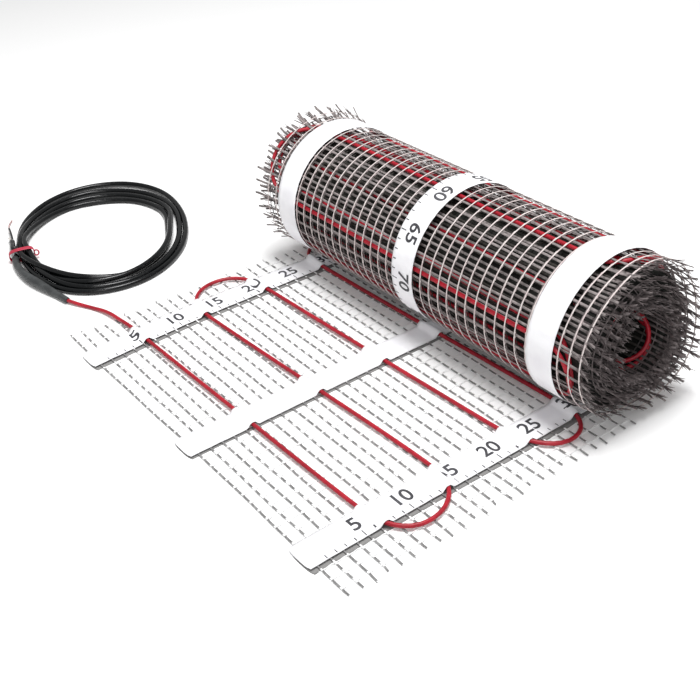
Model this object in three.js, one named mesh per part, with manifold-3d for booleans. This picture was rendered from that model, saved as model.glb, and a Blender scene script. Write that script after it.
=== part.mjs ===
// Underfloor heating mat: an open glass-fibre net that carries a serpentine heating cable,
// held by three pairs of tapes. The front stretch lies flat, the rest is rolled up at its back.
// A spliced cold lead leaves the mat's first corner and ends in a tied coil.
// Millimetres, +Z up. Inside the model group X runs across the mat, Y runs from the free edge
// to the roll, and the floor is at Z = 0.
import * as THREE from 'three';
import { mergeVertices } from 'three/addons/utils/BufferGeometryUtils.js';
import Module from 'manifold-3d';

const wasm = await Module();
wasm.setup();

// Seating gap between touching pieces
const gap = 0.3;

// Glass-fibre net
const meshPitch = 13;
const threadWidth = 1.3;
const netThickness = 1.2;
const weftCount = 24;
const warpOverhang = 3.5;
const rollEndOverhang = 16;
const leftFringeTip = -252;
const rightFringeTip = 241;

// Tapes that hold the cable on the net, one pair at each station across the mat
const tapeWidth = 31;
const tapeThickness = 0.4;
const tapeFreeEnd = -9;
const tapeNipEnd = 311;
const tapeStations = { left: -200.5, middle: 0, right: 186 };

// Heating cable and the cold lead
const cableDiameter = 4.2;
const leadDiameter = 7;
const tubeSides = 8;

// Rolled stretch
const rollRadius = 78.6;
const rollAxisY = 332.6;
const boreRadius = 31;
const rollEnd = 238;
const turnPitch = 5.8;
const turnRelief = 6;
const rollSegments = 36;

// Levels, from the floor up: lower tape, net, cable, upper tape
const netBottom = tapeThickness + gap;
const netTop = netBottom + netThickness;
const cableBottom = netTop + gap;
const cableLevel = cableBottom + cableDiameter / 2;
const rollLevel = rollRadius;
const bodyRadius = rollRadius - tapeThickness - gap;
const facetHalfAngle = Math.PI / rollSegments;

// Half of the model's box, so that the origin is at the middle of its footprint
const originX = (leftFringeTip + rightFringeTip) / 2;
const originY = (tapeFreeEnd + rollAxisY + rollRadius) / 2;

const colours = {
  glass: { color: 0x8b8987, roughness: 0.8, metalness: 0 },
  rolledGlass: { color: 0x6f6a6a, roughness: 0.85, metalness: 0 },
  tape: { color: 0xf2f1f4, roughness: 0.55, metalness: 0 },
  cable: { color: 0xb5203a, roughness: 0.4, metalness: 0 },
  lead: { color: 0x17181b, roughness: 0.35, metalness: 0 },
  sleeve: { color: 0x4f5054, roughness: 0.6, metalness: 0 },
  tie: { color: 0xc2304f, roughness: 0.5, metalness: 0 },
  lightCore: { color: 0xd9d6d2, roughness: 0.5, metalness: 0 },
};

const mat = new THREE.Group();
mat.position.set(-originX, -originY, 0);

function addPiece(name, geometry, look) {
  const mesh = new THREE.Mesh(geometry, new THREE.MeshStandardMaterial(look));
  mesh.name = name;
  mat.add(mesh);
  return mesh;
}

// A side profile drawn in (Y, Z) and drawn out along X
const profileToMat = new THREE.Matrix4().makeBasis(
  new THREE.Vector3(0, 1, 0),
  new THREE.Vector3(0, 0, 1),
  new THREE.Vector3(1, 0, 0),
);

function sideProfile(points, fromX, width) {
  const shape = new THREE.Shape(points.map(([y, z]) => new THREE.Vector2(y, z)));
  const geometry = new THREE.ExtrudeGeometry(shape, { depth: width, bevelEnabled: false });
  return geometry.applyMatrix4(profileToMat).translate(fromX, 0, 0);
}

// Catmull-Rom curve whose extrusion steps fall on its own points
class RouteCurve extends THREE.CatmullRomCurve3 {
  getPointAt(u, target) {
    return this.getPoint(u, target);
  }

  getTangentAt(u, target) {
    return this.getTangent(u, target);
  }
}

function tubeSection(radius) {
  const points = [];
  for (let i = 0; i < tubeSides; i += 1) {
    const angle = ((i + 0.5) / tubeSides) * 2 * Math.PI;
    points.push(new THREE.Vector2(radius * Math.cos(angle), radius * Math.sin(angle)));
  }
  return new THREE.Shape(points);
}

function tubeAlong(points, diameter) {
  const route = new RouteCurve(points.map((p) => new THREE.Vector3(...p)));
  const options = { steps: points.length - 1, bevelEnabled: false, extrudePath: route };
  return new THREE.ExtrudeGeometry(tubeSection(diameter / 2), options);
}

function toSolid(geometry) {
  const plain = geometry.clone();
  plain.deleteAttribute('normal');
  plain.deleteAttribute('uv');
  const merged = mergeVertices(plain);
  const vertProperties = Float32Array.from(merged.getAttribute('position').array);
  const triVerts = Uint32Array.from(merged.getIndex().array);
  return new wasm.Manifold(new wasm.Mesh({ numProp: 3, vertProperties, triVerts }));
}

function toGeometry(solid) {
  const { vertProperties, triVerts } = solid.getMesh();
  const geometry = new THREE.BufferGeometry();
  geometry.setAttribute('position', new THREE.BufferAttribute(vertProperties, 3));
  geometry.setIndex(new THREE.BufferAttribute(triVerts, 1));
  return geometry;
}

function netBox(fromX, toX, fromY, toY) {
  const box = new THREE.BoxGeometry(toX - fromX, toY - fromY, netThickness);
  return toSolid(box.translate((fromX + toX) / 2, (fromY + toY) / 2, netBottom + netThickness / 2));
}

// Spaces between neighbouring threads, with the open ones past the first and the last thread
function spacesBetween(from, to, firstThread, lastThread) {
  const half = threadWidth / 2;
  const spaces = [];
  let start = from;
  for (let centre = firstThread; centre <= lastThread; centre += meshPitch) {
    spaces.push([start, centre - half]);
    start = centre + half;
  }
  spaces.push([start, to]);
  return spaces;
}

// One stretch of net: threads across the mat (wefts) fused to threads along it (warps).
// firstWarp and lastWarp count mesh pitches from the mat's middle.
function netStretch(fromX, toX, firstWarp, lastWarp) {
  const lastWeft = (weftCount - 1) * meshPitch;
  const fromY = -warpOverhang;
  const toY = lastWeft + rollEndOverhang;
  const columns = spacesBetween(fromX - 1, toX + 1, firstWarp * meshPitch, lastWarp * meshPitch);
  const rows = spacesBetween(fromY - 1, toY + 1, 0, lastWeft);
  const meshes = columns.flatMap(([x0, x1]) => rows.map(([y0, y1]) => netBox(x0, x1, y0, y1)));
  const spaces = meshes.reduce((all, next) => all.add(next));
  return toGeometry(netBox(fromX, toX, fromY, toY).subtract(spaces));
}

const seam = gap / 2;
const { left, middle, right } = tapeStations;
addPiece('net_left_fringe', netStretch(leftFringeTip, left - seam, -18, -17), colours.glass);
addPiece('net_left_field', netStretch(left + seam, middle - seam, -14, -2), colours.glass);
addPiece('net_right_field', netStretch(middle + seam, right - seam, 2, 13), colours.glass);
addPiece('net_right_fringe', netStretch(right + seam, rightFringeTip, 16, 18), colours.glass);

// Heating cable on the flat stretch: four runs and three turning loops, up to the roll's nip
const cablePlan = [
  [-216, 55.8], [-185, 56.5], [-100, 58], [0, 60], [100, 62], [168, 64],
  [186, 66], [201, 70], [213, 78], [220.5, 90], [221.5, 105], [217, 120], [208, 132], [198, 139],
  [186, 142.5], [168, 145], [100, 143], [0, 138], [-100, 133], [-168, 130],
  [-186, 130], [-204, 132.5], [-219, 137.5], [-231, 148], [-238, 162], [-239, 178], [-233, 193],
  [-221, 203], [-207, 207.5],
  [-190, 209], [-168, 210.5], [-100, 213], [0, 217], [100, 221.5], [168, 225],
  [184, 228], [198, 233], [212, 241.5], [221, 253], [223, 267], [218, 280], [208, 289], [196, 293.5],
  [182, 295], [160, 294.7], [100, 293], [0, 290], [-100, 287.5], [-180, 286], [-210, 285.5],
  [-224, 289], [-232, 296],
];
const cableRoute = cablePlan.map(([x, y]) => [x, y, cableLevel]);
addPiece('heating_cable', tubeAlong(cableRoute, cableDiameter), colours.cable);

// Lower tape: flat under the net, then once round the outside of the roll to the nip
const ringEndStep = rollSegments - 3;

function ringPoint(inradius, step) {
  const angle = (2 * step + 1) * facetHalfAngle;
  const radius = inradius / Math.cos(facetHalfAngle);
  return [rollAxisY + radius * Math.sin(angle), rollLevel - radius * Math.cos(angle)];
}

function lowerTapeProfile() {
  const points = [[tapeFreeEnd, 0]];
  for (let step = 0; step <= ringEndStep; step += 1) {
    points.push(ringPoint(rollRadius, step));
  }
  for (let step = ringEndStep; step >= 0; step -= 1) {
    points.push(ringPoint(rollRadius - tapeThickness, step));
  }
  points.push([tapeFreeEnd, tapeThickness]);
  return points;
}

// Upper tape: flat on the net, humped over each run of the cable that it crosses
const humpInside = [[-6.2, 0], [-3.6, 3], [-1.8, 4.75], [1.8, 4.75], [3.6, 3], [6.2, 0]];
const humpOutside = [[-6.4, 0.4], [-3.9, 3.3], [-1.95, 5.15], [1.95, 5.15], [3.9, 3.3], [6.4, 0.4]];

function upperTapeProfile(crossings) {
  const lower = [[tapeFreeEnd, cableBottom]];
  const upper = [[tapeFreeEnd, cableBottom + tapeThickness]];
  for (const [y, stretch] of crossings) {
    const place = ([offset, rise]) => [y + offset + Math.sign(offset) * stretch, cableBottom + rise];
    lower.push(...humpInside.map(place));
    upper.push(...humpOutside.map(place));
  }
  lower.push([tapeNipEnd, cableBottom]);
  upper.push([tapeNipEnd, cableBottom + tapeThickness]);
  return [...lower, ...upper.reverse()];
}

// Where the cable passes under a tape: the middle of its Y range there, and half of that range
function crossingsUnder(station) {
  const samples = new RouteCurve(cableRoute.map((p) => new THREE.Vector3(...p))).getPoints(600);
  const crossings = [];
  let range = null;
  for (const { x, y } of [...samples, new THREE.Vector3(Infinity, 0, 0)]) {
    if (Math.abs(x - station) <= tapeWidth / 2 + 1) {
      range = range ? [Math.min(range[0], y), Math.max(range[1], y)] : [y, y];
    } else if (range) {
      crossings.push([(range[0] + range[1]) / 2, (range[1] - range[0]) / 2]);
      range = null;
    }
  }
  return crossings.sort((first, second) => first[0] - second[0]);
}

for (const [side, station] of Object.entries(tapeStations)) {
  const fromX = station - tapeWidth / 2;
  addPiece(`lower_tape_${side}`, sideProfile(lowerTapeProfile(), fromX, tapeWidth), colours.tape);
  const profile = upperTapeProfile(crossingsUnder(station));
  addPiece(`upper_tape_${side}`, sideProfile(profile, fromX, tapeWidth), colours.tape);
}

// Rolled stretch: one turned solid with its bore, its turns showing as ridges on both ends
function rollProfile() {
  const turns = Math.floor((bodyRadius - boreRadius) / turnPitch);
  const firstValley = bodyRadius - turns * turnPitch;
  const points = [];
  for (let turn = 0; turn < turns; turn += 1) {
    const valley = firstValley + turn * turnPitch;
    points.push([valley, rollEnd - turnRelief], [valley + turnPitch / 2, rollEnd]);
  }
  points.push([bodyRadius, rollEnd - turnRelief]);
  const mirrored = points.map(([radius, x]) => [radius, -x]).reverse();
  const bore = [[boreRadius, -rollEnd + turnRelief], [boreRadius, rollEnd - turnRelief]];
  return [...bore, ...points, ...mirrored, bore[0]].reverse();
}

const latheToMat = new THREE.Matrix4().makeBasis(
  new THREE.Vector3(0, 1, 0),
  new THREE.Vector3(1, 0, 0),
  new THREE.Vector3(0, 0, -1),
);
const rollPoints = rollProfile().map(([radius, x]) => new THREE.Vector2(radius, x));
const rollGeometry = new THREE.LatheGeometry(rollPoints, rollSegments, facetHalfAngle);
rollGeometry.applyMatrix4(latheToMat).translate(0, rollAxisY, rollLevel);
addPiece('mat_roll', rollGeometry, colours.rolledGlass);

// Free red lead-in, from the splice to the edge of the left tape
const leadInRoute = [
  [-317.2, 28.7, 4.2], [-306, 33.7, 3.2], [-294, 39.8, 2.4], [-283, 44.8, 2.4], [-270, 49, 3.5],
  [-257, 51.4, 4.4], [-242, 53.1, 4.4], [-229, 54.5, 4.4], [-216.4, 55.8, cableLevel],
];
addPiece('cable_lead_in', tubeAlong(leadInRoute, cableDiameter), colours.cable);

// Heat-shrink splice sleeve: widest over the joint, tapering to the cable
const sleeveRoute = [
  [-450.9, 22.8, 6.2], [-438, 18.6, 6.2], [-424, 16.2, 6.2], [-408, 15, 6.3], [-392, 15.6, 6.5],
  [-376, 17.7, 6.4], [-358, 21, 5.6], [-338, 25, 4.6], [-318, 28.3, 4.2],
];
const sleeveDiameters = [9, 9.2, 9.8, 11, 12.2, 11.6, 9.6, 7.8, 7];

function taperedTube(points, diameters) {
  const geometry = tubeAlong(points, 1);
  const route = new RouteCurve(points.map((p) => new THREE.Vector3(...p)));
  const stations = points.map((_, i) => route.getPoint(i / (points.length - 1)));
  const position = geometry.getAttribute('position');
  const vertex = new THREE.Vector3();
  for (let i = 0; i < position.count; i += 1) {
    vertex.fromBufferAttribute(position, i);
    let nearest = 0;
    stations.forEach((station, k) => {
      if (station.distanceTo(vertex) < stations[nearest].distanceTo(vertex)) {
        nearest = k;
      }
    });
    vertex.sub(stations[nearest]).multiplyScalar(diameters[nearest]).add(stations[nearest]);
    position.setXYZ(i, vertex.x, vertex.y, vertex.z);
  }
  return geometry;
}

addPiece('splice_sleeve', taperedTube(sleeveRoute, sleeveDiameters), colours.sleeve);

// Coil of the cold lead: an oval ring that four turns of the lead fill. They are bound close at
// the tie, lie loosely on each other on the near side and spread out flat on the far side.
const coilCentre = [-434, 132];
const coilAngle = THREE.MathUtils.degToRad(-23.3);
const coilShortAxis = 94;
const coilLongAxis = 124;
const coilHalfWidth = 10;
const coilBottom = 0.8;
const coilHeight = 14.4;
const coilSegments = 48;
const farSide = THREE.MathUtils.degToRad(178);
const farSpreadOut = 24;
const farSpreadIn = 12;
const farFlattening = 7;
const spreadSharpness = 1.3;
const flatteningSharpness = 0.6;
const nearSide = THREE.MathUtils.degToRad(40);
const nearSpreadOut = 6;
const nearSpreadIn = 8;

function coilSection() {
  const low = coilBottom;
  const high = coilBottom + coilHeight;
  const bevel = 3;
  const inner = coilShortAxis - coilHalfWidth;
  const outer = coilShortAxis + coilHalfWidth;
  return [
    [inner + bevel, low], [outer - bevel, low], [outer, low + bevel], [outer, high - bevel],
    [outer - bevel, high], [inner + bevel, high], [inner, high - bevel], [inner, low + bevel],
    [inner + bevel, low],
  ];
}

// A point beside the coil's oval middle line, sideways growing outwards
function besideCoil(turn, sideways) {
  const place = new THREE.Vector2(coilLongAxis * Math.cos(turn), coilShortAxis * Math.sin(turn));
  const outward = new THREE.Vector2(Math.cos(turn) / coilLongAxis, Math.sin(turn) / coilShortAxis);
  return place.addScaledVector(outward.normalize(), sideways);
}

// The ring's half widths and its height at a turn of the coil, as shares of those at the tie
function coilSpread(turn) {
  const far = Math.max(0, Math.cos(turn - farSide));
  const near = Math.max(0, Math.cos(turn - nearSide));
  const farSpread = far ** spreadSharpness;
  return {
    outwards: 1 + (farSpreadOut * farSpread + nearSpreadOut * near) / coilHalfWidth,
    inwards: 1 + (farSpreadIn * farSpread + nearSpreadIn * near) / coilHalfWidth,
    upwards: 1 - (farFlattening * far ** flatteningSharpness) / coilHeight,
  };
}

function coilRing() {
  const section = coilSection().map(([radius, z]) => new THREE.Vector2(radius, z));
  const geometry = new THREE.LatheGeometry(section, coilSegments).rotateX(Math.PI / 2);
  const position = geometry.getAttribute('position');
  for (let i = 0; i < position.count; i += 1) {
    const ringPlace = new THREE.Vector2(position.getX(i), position.getY(i));
    const turn = ringPlace.angle();
    const sideways = ringPlace.length() - coilShortAxis;
    const spread = coilSpread(turn);
    const placed = besideCoil(turn, sideways * (sideways > 0 ? spread.outwards : spread.inwards));
    const height = coilBottom + (position.getZ(i) - coilBottom) * spread.upwards;
    position.setXYZ(i, placed.x, placed.y, height);
  }
  return geometry;
}

const coil = addPiece('cold_lead_coil', coilRing(), colours.lead);
coil.rotation.z = coilAngle;
coil.position.set(coilCentre[0], coilCentre[1], 0);

// Last stretch of the lead: out of the splice's end, through the tie, to the cut end of its sheath
const tailRoute = [
  [-451.3, 23.8, 6.5], [-455, 24.8, 6.8], [-459, 26, 7], [-464, 27.5, 7.2], [-473, 30.2, 7.5],
  [-482, 33, 7.8], [-492.3, 36.1, 8],
];
addPiece('cold_lead_tail', tubeAlong(tailRoute, leadDiameter), colours.lead);

// Stripped end: an insulated core with its bare conductor, and a short light core beside it
const coreDiameter = 2.8;
const conductorDiameter = 1.5;
const darkCoreRoute = [[-492.8, 37.2, 8.6], [-507, 41.8, 7.8], [-521, 45.9, 6.8], [-535.2, 49.5, 5.5]];
const lightCoreRoute = [[-493.8, 34.9, 7.2], [-501, 37, 6.6], [-509, 38.8, 5.6]];
const conductorRoute = [[-535.6, 49.6, 5.4], [-545, 53, 4.2], [-554, 58, 3], [-562.8, 64, 1.6]];
addPiece('core_dark', tubeAlong(darkCoreRoute, coreDiameter), colours.lead);
addPiece('core_light', tubeAlong(lightCoreRoute, coreDiameter), colours.lightCore);
addPiece('core_conductor', tubeAlong(conductorRoute, conductorDiameter), colours.tie);

// Red tie: a closed loop round the coil's turns and the lead's last stretch
const tieTurn = THREE.MathUtils.degToRad(-80);
const tieThickness = 0.5;
const tieWidth = 6.5;
const tieInner = 11;
const tieOuter = 18.6;

function tieShape() {
  const low = coilBottom - gap;
  const high = coilBottom + coilHeight + gap;
  const t = tieThickness;
  const corner = 3;
  const loop = (from, to, bottom, top) => [
    [from + corner, bottom], [to - corner, bottom], [to, bottom + corner], [to, top - corner],
    [to - corner, top], [from + corner, top], [from, top - corner], [from, bottom + corner],
  ].map(([x, y]) => new THREE.Vector2(x, y));
  const shape = new THREE.Shape(loop(-tieInner - t, tieOuter + t, low - t, high + t));
  shape.holes.push(new THREE.Path(loop(-tieInner, tieOuter, low, high)));
  return shape;
}

const tieGeometry = new THREE.ExtrudeGeometry(tieShape(), { depth: tieWidth, bevelEnabled: false });
tieGeometry.translate(0, 0, -tieWidth / 2).rotateX(Math.PI / 2);
const tie = addPiece('coil_tie', tieGeometry, colours.tie);
const tieOffset = besideCoil(tieTurn, 0).rotateAround(new THREE.Vector2(), coilAngle);
const tieTangent = new THREE.Vector2(
  -coilLongAxis * Math.sin(tieTurn),
  coilShortAxis * Math.cos(tieTurn),
).rotateAround(new THREE.Vector2(), coilAngle);
tie.position.set(coilCentre[0] + tieOffset.x, coilCentre[1] + tieOffset.y, 0);
tie.rotation.z = tieTangent.angle() - Math.PI / 2;

export default mat;
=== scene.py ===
"""The looks of an underfloor heating mat: its net, tapes, cables, roll and tied cold lead."""

import math

import bmesh
import bpy
import numpy as np
from mathutils import Matrix, Vector


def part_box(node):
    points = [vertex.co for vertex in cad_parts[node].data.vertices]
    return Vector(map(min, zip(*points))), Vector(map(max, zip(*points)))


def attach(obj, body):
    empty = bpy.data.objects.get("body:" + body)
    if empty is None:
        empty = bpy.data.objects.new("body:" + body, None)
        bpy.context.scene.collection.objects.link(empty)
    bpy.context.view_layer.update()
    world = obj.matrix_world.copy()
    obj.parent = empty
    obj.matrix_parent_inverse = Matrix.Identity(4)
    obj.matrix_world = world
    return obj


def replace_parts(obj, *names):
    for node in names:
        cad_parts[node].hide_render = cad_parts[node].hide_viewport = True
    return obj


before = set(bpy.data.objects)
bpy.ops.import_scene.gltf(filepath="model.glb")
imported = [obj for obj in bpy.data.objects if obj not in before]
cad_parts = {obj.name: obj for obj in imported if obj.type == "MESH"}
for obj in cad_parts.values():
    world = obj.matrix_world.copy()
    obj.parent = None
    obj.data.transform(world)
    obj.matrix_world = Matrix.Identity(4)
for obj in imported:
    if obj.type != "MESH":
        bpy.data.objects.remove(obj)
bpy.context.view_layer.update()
random = np.random.default_rng(7)

# Mat coordinates are millimetres: X across the mat, Y from its first thread to the roll, Z up.
MM = 0.001
TAPE_FREE_END = -9.0
tape_low, tape_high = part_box("lower_tape_middle")
MAT_ORIGIN = np.array([(tape_low.x + tape_high.x) / 2 / MM, tape_low.y / MM - TAPE_FREE_END, 0.0])

# Net
MESH = 13.0
NET_LEVEL = 1.3
FIRST_WARP, LAST_WARP = -18, 18
FLAT_WEFTS = 26
WARP_START = -3.5
LEFT_TIP, RIGHT_TIP = -250.0, 241.0

# Tapes
TAPE_WIDTH = 31.0
TAPE_THICKNESS = 0.4
TAPE_STATIONS = {"left": -200.5, "middle": 0.0, "right": 186.0}
UPPER_TAPE_LEVEL = 2.2
TAPE_LEAN = {"left": 9.0, "middle": 1.5, "right": 1.5}
TAPE_LEAN_END = 135.0
UPPER_TAPE_END = 326.0

# Cables
CABLE = 4.2
CABLE_LEVEL = 4.3
LEAD = 7.0

# Roll: turns of net laid on each other, stepping inwards where they meet the flat stretch
ROLL_AXIS_Y = 332.6
ROLL_LEVEL = 78.6
ROLL_NET_RADIUS = ROLL_LEVEL - NET_LEVEL
TURN_PITCH = 5.8
TURNS = 8
STEP_START = math.radians(268)


def to_frame(points):
    """Mat coordinates in millimetres to the frame's metres."""
    return (np.asarray(points, float) + MAT_ORIGIN) * MM


# Materials
def linear(red, green, blue):
    """A screen colour from 0 to 255 as the linear colour that shaders take."""
    def channel(value):
        share = value / 255
        return share / 12.92 if share <= 0.04045 else ((share + 0.055) / 1.055) ** 2.4
    return (channel(red), channel(green), channel(blue), 1.0)


class Finish:
    """A material under construction: its node tree and its main shader."""

    def __init__(self, name, **shader):
        self.material = bpy.data.materials.new(name)
        self.material.use_nodes = True
        self.tree = self.material.node_tree
        self.shader = self.tree.nodes["Principled BSDF"]
        for key, value in shader.items():
            self.shader.inputs[key.replace("_", " ")].default_value = value
        self.place = self.add("ShaderNodeTexCoord").outputs["Object"]

    def add(self, kind, settings=None, **inputs):
        made = self.tree.nodes.new(kind)
        for key, value in (settings or {}).items():
            setattr(made, key, value)
        for key, value in inputs.items():
            self.put(value, made.inputs[int(key[1:]) if key[1:].isdigit() else key.replace("_", " ")])
        return made

    def put(self, value, socket):
        if isinstance(value, bpy.types.NodeSocket):
            self.tree.links.new(value, socket)
        else:
            socket.default_value = value

    def noise(self, scale, detail=2.0, stretch=None):
        place = self.place
        if stretch:
            place = self.add("ShaderNodeMapping", Vector=place, Scale=stretch).outputs[0]
        return self.add("ShaderNodeTexNoise", Vector=place, Scale=scale, Detail=detail).outputs["Fac"]

    def maths(self, operation, first, second=0.0, third=0.0):
        settings = {"operation": operation}
        return self.add("ShaderNodeMath", settings, _0=first, _1=second, _2=third).outputs[0]

    def ramp(self, value, low, high, bottom=0.0, top=1.0):
        settings = {"interpolation_type": "SMOOTHSTEP"}
        made = self.add("ShaderNodeMapRange", settings, Value=value)
        for key, number in (("From Min", low), ("From Max", high), ("To Min", bottom), ("To Max", top)):
            self.put(number, made.inputs[key])
        return made.outputs["Result"]

    def mix(self, factor, first, second):
        made = self.add("ShaderNodeMix", {"data_type": "RGBA"})
        for socket, value in zip((made.inputs[0], made.inputs[6], made.inputs[7]), (factor, first, second)):
            self.put(value, socket)
        return made.outputs[2]

    def axis(self, name):
        return self.add("ShaderNodeSeparateXYZ", Vector=self.place).outputs[name]

    def colour(self, value):
        self.put(value, self.shader.inputs["Base Color"])

    def rough(self, value):
        self.put(value, self.shader.inputs["Roughness"])

    def bump(self, height, depth_mm, strength=1.0):
        made = self.add("ShaderNodeBump", Height=height, Distance=depth_mm * MM, Strength=strength)
        self.put(made.outputs["Normal"], self.shader.inputs["Normal"])


def yarn_finish(name, main, worn, dashed=False, painted_deep_shade=None):
    """Coated glass yarn: fine filaments and a patchy coating. A dashed yarn is white beside the
    threads that cross it, over a longer stretch in every second row. A yarn given a deep shade
    colour is painted that dark, as painted shade, where it lies deep inside the roll, away from its ends."""
    finish = Finish(name, Specular_IOR_Level=0.3)
    patches = finish.ramp(finish.noise(170, 3), 0.35, 0.7)
    colour = finish.mix(patches, linear(*main), linear(*worn))
    middle = MAT_ORIGIN[0] * MM
    if dashed:
        pitch = MESH * MM
        turn = finish.maths("DIVIDE", finish.maths("SUBTRACT", finish.axis("X"), middle), pitch)
        between = finish.maths("ABSOLUTE", finish.maths("SUBTRACT", finish.maths("FRACT", turn), 0.5))
        first_row = MAT_ORIGIN[1] * MM
        row = finish.maths("DIVIDE", finish.maths("SUBTRACT", finish.axis("Y"), first_row), 2 * pitch)
        clear = finish.maths("GREATER_THAN", finish.maths("FRACT", finish.maths("ADD", row, 0.25)), 0.5)
        bare = finish.maths("MULTIPLY_ADD", clear, -0.12, 0.39)
        coated = finish.ramp(finish.maths("SUBTRACT", between, bare), -0.03, 0.05)
        low = finish.ramp(finish.axis("Z"), 0.0035, 0.0055, 1.0, 0.0)
        colour = finish.mix(finish.maths("MULTIPLY", coated, low), colour, linear(240, 240, 240))
    # Painted shade: the yarn turns darker deep inside the roll, away from its ends.
    if painted_deep_shade:
        reach = finish.maths("ABSOLUTE", finish.maths("SUBTRACT", finish.axis("X"), middle))
        colour = finish.mix(finish.ramp(reach, 0.2, 0.222), linear(*painted_deep_shade), colour)
    finish.colour(colour)
    finish.rough(finish.ramp(finish.noise(400), 0.3, 0.7, 0.65, 0.85))
    finish.bump(finish.noise(1800, 2), 0.15, 0.6)
    return finish.material


def cable_finish(name, main, deep, rough, gloss=0.5):
    """Extruded plastic sheath: slight colour drift, faint die lines and handling marks."""
    finish = Finish(name, Specular_IOR_Level=gloss)
    drift = finish.ramp(finish.noise(90, 3), 0.3, 0.7)
    finish.colour(finish.mix(drift, linear(*main), linear(*deep)))
    finish.rough(finish.ramp(finish.noise(300, 4), 0.3, 0.75, rough - 0.06, rough + 0.1))
    finish.bump(finish.noise(500, 3), 0.03, 0.4)
    return finish.material


# Painted shade: the grey that the lower tape takes where it lies on the floor.
LOWER_TAPE_PAINTED_SHADE = (132, 131, 130)


def tape_finish(name, main, shade):
    """White fabric tape: a fine square weave under its coating, a little uneven in tone. The
    lower tape is painted grey where it lies on the floor, as painted shade."""
    finish = Finish(name, Specular_IOR_Level=0.35)
    drift = finish.ramp(finish.noise(35, 3), 0.35, 0.75)
    colour = finish.mix(drift, linear(*main), linear(*shade))
    # Painted shade: the tape turns grey near the floor.
    lying_painted_shade = finish.ramp(finish.axis("Z"), 0.0009, 0.0016, 1.0, 0.0)
    finish.colour(finish.mix(lying_painted_shade, colour, linear(*LOWER_TAPE_PAINTED_SHADE)))
    finish.rough(finish.ramp(finish.noise(250, 3), 0.3, 0.7, 0.5, 0.66))
    across = finish.add("ShaderNodeTexWave", {"bands_direction": "X"}, Vector=finish.place, Scale=420.0)
    along = finish.add("ShaderNodeTexWave", {"bands_direction": "Y"}, Vector=finish.place, Scale=420.0)
    weave = finish.maths("ADD", across.outputs["Fac"], along.outputs["Fac"])
    height = finish.maths("ADD", finish.maths("MULTIPLY", weave, 0.3), finish.noise(60, 3))
    finish.bump(height, 0.12, 0.5)
    return finish.material


def sleeve_finish():
    """Shrunk sleeve: dull dark grey with fine rings where it tightened."""
    finish = Finish("shrink_sleeve", Specular_IOR_Level=0.4)
    drift = finish.ramp(finish.noise(120, 3), 0.3, 0.7)
    finish.colour(finish.mix(drift, linear(52, 54, 55), linear(68, 70, 71)))
    finish.rough(finish.ramp(finish.noise(260, 3), 0.3, 0.7, 0.45, 0.62))
    finish.bump(finish.noise(260, 3, (3.0, 0.4, 0.4)), 0.3, 0.5)
    return finish.material


def metal_finish(name, main, worn):
    finish = Finish(name, Metallic=0.7)
    finish.colour(finish.mix(finish.ramp(finish.noise(500, 2), 0.3, 0.7), linear(*main), linear(*worn)))
    finish.rough(finish.ramp(finish.noise(700, 2), 0.3, 0.7, 0.3, 0.5))
    finish.bump(finish.noise(2500, 2), 0.05, 0.6)
    return finish.material


WEFT = yarn_finish("glass_weft", (116, 115, 115), (146, 145, 145), dashed=True)
ROLLED_WEFT = yarn_finish("glass_weft_rolled", (116, 110, 109), (146, 137, 136))
WARP = yarn_finish("glass_warp", (222, 213, 210), (206, 190, 189))
# Warps on the flat stretch: a whiter copy of the warp, painted light so that their shaded sides wash out.
FLAT_WARP_PAINTED_LIGHT = yarn_finish("glass_warp_flat_painted_light", (252, 252, 252), (248, 248, 248))
# Warps of the second turn: the white warp painted mid grey as shade.
SECOND_WARP_PAINTED_SHADE = yarn_finish("glass_warp_second_painted_shade", (132, 124, 123), (112, 104, 103))
# Yarn of the inner turns: a darker copy of the glass yarn, its darkness painted shade.
INNER_YARN_PAINTED_SHADE = yarn_finish("glass_inner_painted_shade", (92, 85, 85), (122, 113, 113), painted_deep_shade=(58, 56, 52))
FRAYED_YARN = yarn_finish("glass_frayed", (84, 77, 77), (124, 114, 114))
# Near-black painted shade for the roll's hidden turns.
CORE_PAINTED_SHADE = yarn_finish("roll_shadowed_turns", (24, 26, 23), (38, 38, 35))
TAPE = tape_finish("tape_white", (247, 247, 249), (238, 237, 241))
PRINT = tape_finish("tape_print", (60, 60, 64), (84, 84, 88))
RED_CABLE = cable_finish("cable_crimson", (172, 24, 42), (148, 16, 34), 0.42, 0.4)
BLACK_LEAD = cable_finish("lead_black", (4, 6, 8), (8, 10, 12), 0.22, 0.36)
SLEEVE = sleeve_finish()
TIE = cable_finish("tie_crimson", (188, 34, 66), (166, 24, 52), 0.42)
LIGHT_CORE = cable_finish("core_white", (228, 224, 219), (212, 208, 203), 0.45)
CONDUCTOR = metal_finish("conductor_tinned", (222, 176, 170), (196, 150, 150))


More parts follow.
